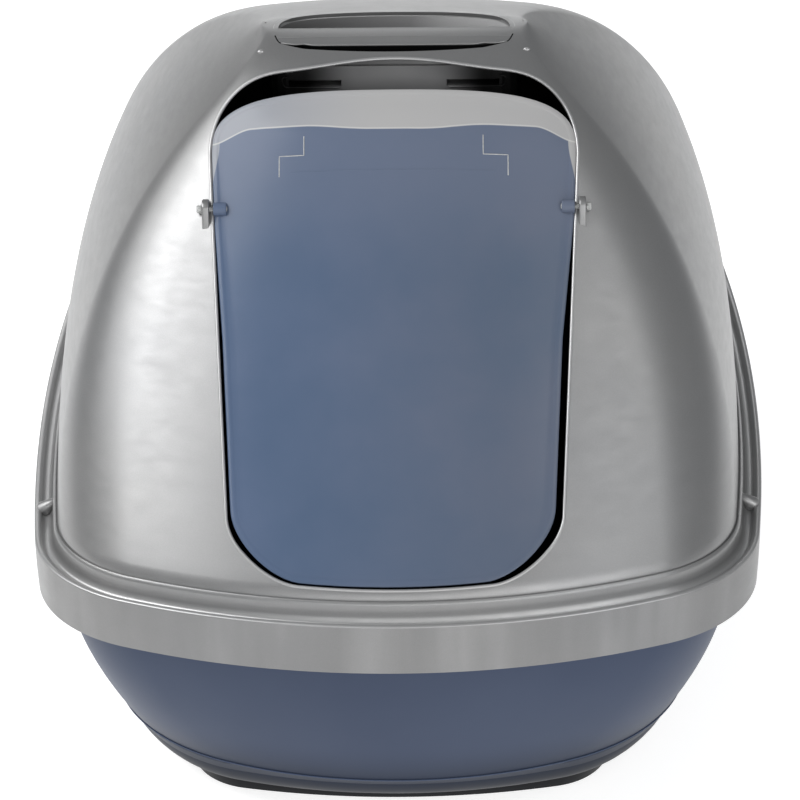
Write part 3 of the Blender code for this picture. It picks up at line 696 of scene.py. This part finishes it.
def make_hood():
    levels = SHOULDER_Z + (HEIGHT - SHOULDER_Z) * ease(90, 1.8)[1:]
    sections = rim_sections() + [lift(dome_outline(z), z) for z in levels]
    mesh = grid_mesh("hood_shell", sections, cap_last=True)
    hood = new_object("hood_shell", mesh, SILVER, 0)
    wall = hood.modifiers.new("wall", "SOLIDIFY")
    wall.thickness = HOOD_WALL
    wall.offset = -1.0
    apply_modifiers(hood)

    start = FACE_ORIGIN + FACE_OUT * 0.05
    outline = door_outline()
    points = [Vector(start + (x, 0, 0) + FACE_UP * up) for x, up in outline]
    boolean(hood, prism("door", points, Vector(-FACE_OUT) * 0.13))

    scoop = [Vector((x, y, CUTTER_BOTTOM_Z)) for x, y in grip_outline(0.0)]
    boolean(hood, prism("scoop", scoop, Vector((0, 0, CUTTER_HEIGHT))))
    boolean(hood, slit_cutter())
    hood.data.shade_smooth()
    hood.data.set_sharp_from_angle(angle=math.radians(38))
    return hood


def grip_outline(grow):
    """The scoop behind the bar: a straight front edge and a bowed rear edge."""
    half_width = GRIP_HALF_WIDTH + grow
    bow = GRIP_REAR_Y - BAR_REAR_Y + grow
    angle = np.pi * np.arange(49) / 48
    x = half_width * np.sign(np.cos(angle)) * np.abs(np.cos(angle)) ** 0.8
    y = BAR_REAR_Y + bow * np.sin(angle) ** 0.8
    return np.stack([x, y], 1)


def end_share(xs, length):
    """One along the slit, falling to nothing over this length at its ends."""
    return np.clip((SLIT_HALF_WIDTH - np.abs(xs)) / length, 0, 1) ** 0.7


def bar_front(xs):
    """The bar's front edge: it has a small notch near each end and turns back at the ends."""
    notch = NOTCH_DEPTH * np.exp(-(((np.abs(xs) - NOTCH_X) / NOTCH_WIDTH) ** 2))
    bow = 0.0010 * (xs / EDGE_BOW_AT) ** 2
    return BAR_EDGE_Y + bow + notch + 0.0035 * (1 - end_share(xs, 0.014))


def slit_outline():
    """The slit in front of the bar: thin, slightly bowed, and rising at its ends."""
    xs = np.linspace(-SLIT_HALF_WIDTH, SLIT_HALF_WIDTH, 61)
    front = SLIT_EDGE_Y + 0.0050 * (xs / EDGE_BOW_AT) ** 2 + 0.0045 * (1 - end_share(xs, 0.016))
    return np.concatenate([np.stack([xs, front], 1), np.stack([xs, bar_front(xs)], 1)[::-1]])


def slit_cutter():
    """The slit's cutter: straight through the skin, then undercut below the bar."""
    outline = slit_outline()
    count = len(outline) // 2
    surface = top_z(outline[:, 0], outline[:, 1])
    sections = []
    for drop, back in ((-0.010, 0.0), (0.0005, 0.0), (0.0030, 0.0062), (0.0070, 0.0075)):
        row = outline.copy()
        row[count:, 1] += back
        sections.append(np.concatenate([row, (surface - drop)[:, None]], 1))
    return new_object("slit", grid_mesh("slit", sections, True, True), None, 0)


def make_scoop():
    """The rounded lip round the back of the finger pocket, in the lighter silver as a painted highlight.
    """
    lip = [
        (0.0034, 0.0000), (0.0024, -0.0001), (0.0014, -0.0004),
        (0.0007, -0.0010), (0.0002, -0.0019), (0.0, -0.0032),
    ]
    rows = []
    for grow, drop in lip:
        outline = grip_outline(grow)
        z = top_z(outline[:, 0], outline[:, 1]) + drop + 0.00005
        rows.append(np.concatenate([outline, z[:, None]], 1))
    return strip("scoop_lip", rows, SILVER_HIGHLIGHT)


def strip(name, rows, mat):
    """An open skin between rows of points."""
    rows = np.asarray(rows, float)
    count, length = rows.shape[:2]
    index = np.arange(count * length).reshape(count, length)
    faces = np.stack([index[:-1, :-1], index[:-1, 1:], index[1:, 1:], index[1:, :-1]], -1).reshape(-1, 4)
    mesh = bpy.data.meshes.new(name)
    mesh.from_pydata(rows.reshape(-1, 3).tolist(), [], faces.tolist())
    mesh.update()
    return new_object(name, mesh, mat, 0)


def pocket_outline(shrink):
    """The whole pocket: the scoop's bowed rear edge, and straight sides and front under the bar."""
    rear = grip_outline(-shrink)
    half = GRIP_HALF_WIDTH - shrink
    front_y = POCKET_FRONT_Y + shrink
    centre_x, centre_y = half - POCKET_CORNER, front_y + POCKET_CORNER
    low = [(-half, y) for y in np.linspace(BAR_REAR_Y, centre_y, 8)[1:]]
    angle = np.linspace(0, np.pi / 2, 6)[1:]
    across, along = POCKET_CORNER * np.cos(angle), POCKET_CORNER * np.sin(angle)
    low += [(-centre_x - a, centre_y - b) for a, b in zip(across, along)]
    low += [(x, front_y) for x in np.linspace(-centre_x, centre_x, 30)[1:]]
    low += [(centre_x + b, centre_y - a) for a, b in zip(across, along)]
    low += [(half, y) for y in np.linspace(centre_y, BAR_REAR_Y, 8)[1:-1]]
    return np.concatenate([rear, np.array(low)])


def make_pocket():
    """The finger pocket's bowl."""
    rear_count = len(grip_outline(0.0))
    sections = []
    outline = pocket_outline(0.0)
    top = top_z(outline[:, 0], outline[:, 1]) - 0.0031
    top[rear_count:] += 0.0012
    sections.append(np.concatenate([outline, top[:, None]], 1))
    for shrink, z in rounded([
        (0.0003, 0.4570, 0), (0.0012, 0.4500, 0.004), (0.0035, 0.4458, 0.006),
        (0.0100, 0.4448, 0.004), (0.0150, 0.4447, 0),
    ]):
        sections.append(lift(pocket_outline(shrink), z))
    mesh = grid_mesh("finger_pocket", sections, cap_last=True)
    return new_object("finger_pocket", mesh, POCKET, 0)


def make_bar():
    """The handle bar's rounded underside and its two long edges."""
    half = GRIP_HALF_WIDTH + 0.0015
    xs = np.linspace(-half, half, 61)
    front = bar_front(xs)
    rear = np.full_like(xs, BAR_REAR_Y)
    section = rounded([
        (0.24, -0.0020, 0), (0.45, -0.0062, 0.0022), (1.0, -0.0062, 0.0022), (1.0, -0.0009, 0),
    ])
    rows = []
    for share, drop in section:
        y = front + (rear - front) * share
        rows.append(np.stack([xs, y, top_z(xs, y) + drop], 1))
    under = strip("bar_underside", rows, SILVER)
    edges = []
    for name, y, sink, radius in (
        ("bar_front_edge", front + 0.0004, 0.0005, 0.0006),
        ("bar_rear_edge", rear - 0.0006, 0.0007, 0.0008),
        ("bar_crease", np.full_like(xs, -0.0325), 0.0002, 0.0004),
    ):
        points = np.stack([xs, y, top_z(xs, y) - sink], 1)
        edges.append(bead(name, points, radius, SILVER, cyclic=False))
    for side in (-1, 1):
        turn = np.linspace(0, 1, 9)
        x, y = side * (0.0742 + 0.0040 * turn**0.6), -0.0388 + 0.0090 * turn
        seam = np.stack([x, y, top_z(x, y) - 0.0001], 1)
        name = "bar_end_seam_left" if side < 0 else "bar_end_seam_right"
        edges.append(bead(name, seam, 0.00042, POCKET, cyclic=False))
    return [under] + edges


def make_door_lip():
    """The entrance's edge, a small round bead along the cut, in the lighter silver as a painted
    highlight.
    """
    outline = door_outline()
    points = face_points(outline[:, 0], outline[:, 1])
    normals = face_normals(outline[:, 0], outline[:, 1])
    return bead("door_lip", points - normals * 0.0008, 0.0012, SILVER_HIGHLIGHT)


def make_lug(side):
    """A teardrop tab beside the entrance, drilled for a hinge pin."""
    tail = np.array([-0.003, -0.0105])
    points = []
    for angle in np.radians(np.linspace(-15, 195, 22)):
        points.append((0.0065 * math.cos(angle), 0.0065 * math.sin(angle)))
    for angle in np.radians(np.linspace(195, 345, 10)):
        points.append((tail[0] + 0.0025 * math.cos(angle), tail[1] + 0.0025 * math.sin(angle)))
    start = np.array(HINGE) + (side * LUG_INNER_X, 0, 0)
    outline = [Vector(start + FACE_OUT * out + FACE_UP * up) for out, up in points]
    name = "hinge_lug_left" if side < 0 else "hinge_lug_right"
    lug = prism(name, outline, Vector((side * (LUG_OUTER_X - LUG_INNER_X), 0, 0)))
    lug.data.materials.append(SILVER)
    soft = lug.modifiers.new("soft", "BEVEL")
    soft.width = 0.0009
    soft.segments = 3
    soft.limit_method = "ANGLE"
    soft.angle_limit = math.radians(40)
    return apply_modifiers(lug, 60)


def make_rib(side):
    """A half-cone across the moat that keeps stacked hoods apart."""
    start = Vector((side * RIB_START[0], *RIB_START[1:]))
    stop = Vector((side * RIB_STOP[0], *RIB_STOP[1:]))
    axis = stop - start
    turn = axis.to_track_quat("Z", "Y").to_matrix()
    rows = []
    for share, radius in (
        (0.0, 0.0), (0.0, 0.0048), (0.15, 0.0052), (0.6, 0.0040),
        (0.92, 0.0028), (1.0, 0.0018), (1.03, 0.0),
    ):
        radius = max(radius, TIP_RADIUS)
        ring = []
        for a in np.linspace(0, 2 * math.pi, 29)[:-1]:
            out = Vector((radius * math.cos(a), radius * math.sin(a), 0))
            ring.append(tuple(start + axis * share + turn @ out))
        rows.append(ring)
    name = "moat_rib_left" if side < 0 else "moat_rib_right"
    return new_object(name, grid_mesh(name, rows, True, True), SILVER, 50)


def make_nub(side):
    """A small moulding nub in front of each end of the handle, in the lighter silver as a painted
    highlight.
    """
    bm = bmesh.new()
    x, y = side * NUB_PLACE[0], NUB_PLACE[1]
    place = Vector((x, y, float(top_z(x, y)) - 0.0002))
    bmesh.ops.create_uvsphere(bm, u_segments=20, v_segments=12, radius=1.0)
    spread = Matrix.Translation(place) @ Matrix.Diagonal((*NUB_RADII, 1))
    bmesh.ops.transform(bm, verts=bm.verts, matrix=spread)
    mesh = bpy.data.meshes.new("nub")
    bm.to_mesh(mesh)
    bm.free()
    return new_object("nub_left" if side < 0 else "nub_right", mesh, SILVER_HIGHLIGHT, 0)


# ---------------------------------------------------------------- flap


FLAP_BOTTOM = 0.0072
FLAP_CORNER = (0.045, 0.054)
FLAP_HEAD_START = 0.298
FLAP_HEAD_HEIGHT = 0.0406
FLAP_HEAD_POWER = 3.3
FLAP_GAP = 0.0012
FLAP_LOWER_GAP = 0.0042
FLAP_LEAN = 0.0012  # the flap hangs this far to the left at its foot


def flap_outline():
    """The flap's edge as (x, distance up the face), anticlockwise from the middle of the foot."""
    width, rise = FLAP_CORNER
    corner_top = FLAP_BOTTOM + rise

    def side_x(up):
        share = np.clip((up - 0.17) / 0.08, 0, 1)
        return float(door_half_width(up)) - (FLAP_LOWER_GAP + (FLAP_GAP - FLAP_LOWER_GAP) * share)

    corner_x = side_x(corner_top) - width
    right = [(x, bowed(x, FLAP_BOTTOM, corner_top, rise)) for x in np.linspace(0, corner_x, 12)[:-1]]
    for angle in np.linspace(0, math.pi / 2, 22):
        x = corner_x + width * math.sin(angle) ** (2 / CORNER_POWER)
        up = corner_top - rise * max(math.cos(angle), 0.0) ** (2 / CORNER_POWER)
        right.append((x, bowed(x, up, corner_top, rise)))
    right += [(side_x(up), up) for up in np.linspace(corner_top, FLAP_HEAD_START, 40)[1:]]
    for angle in np.linspace(0, math.pi / 2, 44)[1:]:
        up = FLAP_HEAD_START + FLAP_HEAD_HEIGHT * math.sin(angle) ** (2 / FLAP_HEAD_POWER)
        right.append((side_x(up) * max(math.cos(angle), 0.0) ** (2 / FLAP_HEAD_POWER), up))
    right = np.array(right, float)
    outline = np.concatenate([right, right[1:-1][::-1] * (-1, 1)])
    outline[:, 0] -= FLAP_LEAN * np.clip((0.25 - outline[:, 1]) / 0.08, 0, 1)
    return outline


def make_flap():
    """A clear panel that follows the hood, with a slightly thicker band round its edge."""
    outline = flap_outline()
    centre = np.array([0.0, 0.175])
    tangent = np.roll(outline, -1, 0) - np.roll(outline, 1, 0)
    inward = np.stack([-tangent[:, 1], tangent[:, 0]], 1)
    inward /= np.linalg.norm(inward, axis=1, keepdims=True)
    band = 0.0040
    outer, inner = [], []
    for inset, sink in (
        (0.0000, 0.0012), (0.0002, 0.0008), (0.0006, 0.0006),
        (band - 0.0005, 0.0006), (band, 0.0008), (band + 0.0006, 0.0009),
    ):
        outer.append((outline + inward * inset, sink))
    edge = outline + inward * (band + 0.0006)
    for share in np.linspace(1, 0.02, 26)[1:]:
        outer.append((centre + (edge - centre) * share, 0.0009))
    for share in np.linspace(0.02, 1, 26):
        inner.append((centre + (edge - centre) * share, 0.0024))
    inner += [(outline + inward * 0.0006, 0.0026), (outline + inward * 0.0001, 0.0023)]
    sections = []
    for points, sink in inner + outer:
        x, up = points.T
        sections.append(face_points(x, up) - face_normals(x, up) * sink)
    mesh = grid_mesh("flap_panel", sections, True, True)
    return new_object("flap_panel", mesh, FLAP, 40)


def make_flap_lines():
    """Fine moulded steps near the top of the flap."""
    lines = []
    for side in (-1, 1):
        path = [(0.058, 0.306), (0.058, 0.293), (0.074, 0.293), (0.074, 0.279)]
        points = []
        for (x0, s0), (x1, s1) in zip(path, path[1:]):
            for t in np.linspace(0, 1, 8, endpoint=False):
                points.append((side * (x0 + (x1 - x0) * t), s0 + (s1 - s0) * t))
        points.append((side * path[-1][0], path[-1][1]))
        lines.append(points)
    lines.append([(x, 0.282) for x in np.linspace(-0.066, 0.066, 30)])
    out = []
    for i, points in enumerate(lines):
        x, up = np.array(points).T
        place = face_points(x, up) - face_normals(x, up) * 0.0010
        radius, mat = (0.00042, CLEAR) if i < 2 else (0.00025, FLAP)
        out.append(bead(f"flap_step_{i}", place, radius, mat, cyclic=False, resolution=2))
    return out


def turned(name, profile, mat, side):
    """A piece turned about the hinge axis: profile is (distance from the middle, radius)."""
    segments = 32
    angle = np.linspace(0, 2 * math.pi, segments + 1)[:-1]
    rows = []
    for x, radius in profile:
        radius = max(radius, TIP_RADIUS)
        y, z = HINGE.y + radius * np.cos(angle), HINGE.z + radius * np.sin(angle)
        rows.append(np.stack([np.full(segments, side * x), y, z], 1))
    return new_object(name, grid_mesh(name, rows, True, True), mat, 40)


def make_boss(side):
    outer = float(door_half_width(0.26)) - FLAP_GAP
    inner, radius = 0.1080, 0.0043
    profile = rounded([
        (inner, 0.0, 0), (inner, radius, 0.0010), (outer, radius, 0.0006), (outer, 0.0020, 0),
    ])
    return turned("boss_left" if side < 0 else "boss_right", profile, FLAP, side)


def make_slot_rim(side):
    """A raised rim round the outer end of a vent slot in the filter housing's front."""
    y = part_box("filter_housing")[0].y - 0.0002
    path = rounded([
        (0.036, 0.4370, 0), (0.0725, 0.4374, 0.003), (0.0735, 0.4440, 0.002), (0.0700, 0.4450, 0),
    ])
    points = np.stack([side * path[:, 0], np.full(len(path), y), path[:, 1]], 1)
    name = "slot_rim_left" if side < 0 else "slot_rim_right"
    return bead(name, points, 0.0005, GREY, cyclic=False)


def make_boss_ring(side):
    """The round foot of a boss, where it meets the flap; its pale clear plastic is a painted highlight
    ring.
    """
    turn = np.linspace(0, 2 * math.pi, 33)[:-1]
    radius = 0.0038
    x, up = side * 0.1118 + radius * np.cos(turn), 0.2596 + radius * np.sin(turn)
    ring = face_points(x, up) - face_normals(x, up) * 0.0003
    name = "boss_ring_left" if side < 0 else "boss_ring_right"
    return bead(name, ring, 0.0005, CLEAR, resolution=3)


def make_pin(side):
    tip, shoulder, end = 0.1096, LUG_OUTER_X + 0.0003, LUG_OUTER_X + 0.0036
    shank, head = 0.0016, 0.0027
    profile = rounded([
        (tip, 0.0, 0), (tip, shank, 0.0005), (shoulder, shank, 0.0002),
        (shoulder, head, 0.0004), (end, head, 0.0014), (end, 0.0, 0),
    ])
    return turned("pin_left" if side < 0 else "pin_right", profile, CLEAR, side)


# ---------------------------------------------------------------- tray


RIM_INSET = 0.0040
TRAY_WALL = 0.0024
TRAY_TOP_Z = 0.1814
WALL_HEAD_INSET = 0.0180
WALL_HEAD_Z = 0.156
WALL_POWER = 1.47
FLANGE_Z = 0.163
STEP_Z = 0.0391
UNDER_POWER = 0.52
GROOVE_Z = 0.0135
INNER_FLOOR_Z = 0.013


def blend_outlines(first, second, share):
    return first + (second - first) * share


def make_tray():
    groove = plan_outline(FOOT_PLAN, -0.006)
    step = plan_outline(STEP_PLAN)
    ring_foot = [
        (0.0036, 0.0104), (0.0032, 0.0098), (0.0032, 0.0008), (0.0024, 0.0),
        (0.0008, 0.0), (0.0, 0.0008), (-0.0024, 0.0105), (-0.0032, 0.0122),
    ]
    sections = [lift(plan_outline(FOOT_PLAN, inset), z) for inset, z in ring_foot]
    for angle in np.linspace(0, math.pi / 2, 18)[1:]:
        share = 1 - (1 - math.sin(angle)) ** UNDER_POWER
        z = GROOVE_Z + (STEP_Z - GROOVE_Z) * (1 - math.cos(angle))
        sections.append(lift(blend_outlines(groove, step, share), z))
    sections.append(lift(plan_outline(STEP_PLAN, 0.0001), STEP_Z + 0.0004))

    def wall(inset, foot_z, head_z, shares):
        foot, head = plan_outline(STEP_PLAN, inset), plan_outline(RIM_PLAN, WALL_HEAD_INSET + inset)
        for share in shares:
            out = 1 - (1 - share) ** WALL_POWER
            yield lift(blend_outlines(foot, head, out), foot_z + (head_z - foot_z) * share)

    sections += wall(0.0005, STEP_Z + 0.0007, WALL_HEAD_Z, np.linspace(0, 1, 26))
    rim = rounded([
        (WALL_HEAD_INSET + 0.001, WALL_HEAD_Z + 0.001, 0),
        (0.0150, 0.1590, 0.002),
        (0.0054, FLANGE_Z, 0.002),
        (0.0052, TRAY_TOP_Z, 0.001),
        (RIM_INSET + TRAY_WALL + 0.0010, TRAY_TOP_Z, 0.001),
        (RIM_INSET + TRAY_WALL + 0.0014, FLANGE_Z + 0.0024, 0.002),
        (0.0160, 0.1615, 0),
    ])
    sections += [lift(plan_outline(RIM_PLAN, inset), z) for inset, z in rim]
    sections += wall(0.0010 + TRAY_WALL, STEP_Z + 0.0035, WALL_HEAD_Z + 0.0015, np.linspace(1, 0, 26))
    inner_foot = plan_outline(STEP_PLAN, 0.0010 + TRAY_WALL)
    floor, floor_start = plan_outline(FOOT_PLAN, -0.004), STEP_Z + 0.0035
    for angle in np.linspace(0, math.pi / 2, 14)[1:]:
        z = floor_start - (floor_start - INNER_FLOOR_Z) * math.sin(angle)
        sections.append(lift(blend_outlines(inner_foot, floor, 1 - math.cos(angle)), z))
    mesh = grid_mesh("tray_shell", sections, True, True)
    return new_object("tray_shell", mesh, TRAY, 45)


def make_ridge():
    """The thin light line along the tray's ridge, a painted highlight in the lighter tray plastic."""
    points = lift(plan_outline(STEP_PLAN, 0.0003), STEP_Z + 0.0002)
    return bead("tray_ridge", points, 0.0005, TRAY_HIGHLIGHT, resolution=3)


# ---------------------------------------------------------------- studio


CAMERA_PLACE = (0.0400, -2.4997, 1.4684)
CAMERA_AHEAD = (-0.014223, 0.888551, -0.458557)
CAMERA_ROLL = -0.014842
CAMERA_LENS = 181.66
CAMERA_SENSOR = 36.0

FLOOR_RADIUS = 40.0
WORLD_COLOUR = (0.86, 0.88, 0.90, 1)
WORLD_STRENGTH = 0.32
SOFTBOXES = (  # name, place, target, size, power
    ("back", (-0.5, 3.4, 1.3), (0, 0, 0.45), (2.4, 1.2), 17),
    ("key", (-1.60, -0.72, 2.35), (0, -0.05, 0.3), (1.5, 1.4), 42),
    ("left", (-2.2, 0.3, 1.95), (0, -0.05, 0.3), (1.5, 1.2), 15),
    ("right", (1.5, -2.4, 1.2), (0.1, 0, 0.25), (1.2, 1.2), 14),
    ("right_high", (1.6, -1.6, 2.5), (0.1, 0, 0.25), (1.2, 1.0), 8),
    ("front", (0.0, -3.2, 1.2), (0, 0, 0.2), (2.4, 1.2), 17),
)


def add_camera():
    camera = bpy.data.objects.new("camera", bpy.data.cameras.new("camera"))
    camera.data.lens = CAMERA_LENS
    camera.data.sensor_width = CAMERA_SENSOR
    camera.data.clip_end = 50.0
    ahead = Vector(CAMERA_AHEAD).normalized()
    right = ahead.cross(Vector((0, 0, 1))).normalized()
    up = right.cross(ahead)
    x = right * math.cos(CAMERA_ROLL) + up * math.sin(CAMERA_ROLL)
    y = up * math.cos(CAMERA_ROLL) - right * math.sin(CAMERA_ROLL)
    turn = Matrix((x, y, -ahead)).transposed().to_4x4()
    camera.matrix_world = Matrix.Translation(CAMERA_PLACE) @ turn
    bpy.context.scene.collection.objects.link(camera)
    bpy.context.scene.camera = camera


def softbox(name, place, target, size, power):
    light = bpy.data.lights.new(name, "AREA")
    light.shape = "RECTANGLE"
    light.size, light.size_y = size
    light.energy = power
    obj = bpy.data.objects.new(name, light)
    direction = Vector(target) - Vector(place)
    turn = direction.to_track_quat("-Z", "Y").to_matrix().to_4x4()
    obj.matrix_world = Matrix.Translation(place) @ turn
    bpy.context.scene.collection.objects.link(obj)


def add_studio():
    bpy.context.scene.view_settings.view_transform = "Standard"
    floor_mesh = bpy.data.meshes.new("studio_floor")
    bm = bmesh.new()
    bmesh.ops.create_circle(bm, cap_ends=True, segments=96, radius=FLOOR_RADIUS)
    bm.to_mesh(floor_mesh)
    bm.free()
    floor = bpy.data.objects.new("studio_floor", floor_mesh)
    floor_mesh.materials.append(floor_material())
    bpy.context.scene.collection.objects.link(floor)
    floor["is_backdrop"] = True
    world = bpy.data.worlds.new("studio")
    world.use_nodes = True
    sky = world.node_tree.nodes["Background"]
    sky.inputs["Color"].default_value = WORLD_COLOUR
    sky.inputs["Strength"].default_value = WORLD_STRENGTH
    bpy.context.scene.world = world
    for name, place, target, size, power in SOFTBOXES:
        softbox(name, place, target, size, power)


def main():
    hood = make_hood()
    keep(hood, "hood", "hood_plastic", "hood")
    for piece in [make_scoop(), make_pocket(), make_door_lip()] + make_bar():
        keep(piece, "hood", "hood_plastic")
    for side in (-1, 1):
        for piece in (make_lug(side), make_rib(side), make_nub(side)):
            keep(piece, "hood", "hood_plastic")
        node = "hinge_pin_left" if side < 0 else "hinge_pin_right"
        keep(make_pin(side), "hood", "pin_plastic", node)
        keep(make_boss(side), "flap", "flap_clear")
        keep(make_boss_ring(side), "flap", "flap_clear")
        keep(make_slot_rim(side), "filter_unit", "housing_plastic")
    keep(make_flap(), "flap", "flap_clear", "flap")
    for line in make_flap_lines():
        keep(line, "flap", "flap_clear")
    keep(make_tray(), "tray", "tray_plastic", "base_tray")
    keep(make_ridge(), "tray", "tray_plastic")
    for node, mat in (("filter_housing", GREY), ("filter_cover", GREY), ("carbon_filter", CARBON)):
        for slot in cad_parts[node].material_slots:
            slot.material = mat
    add_camera()
    add_studio()
    visual_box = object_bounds()
    boxes = {"cad": cad_box, "visual": visual_box}
    {name: [list(corner) for corner in box] for name, box in boxes.items()}


main()
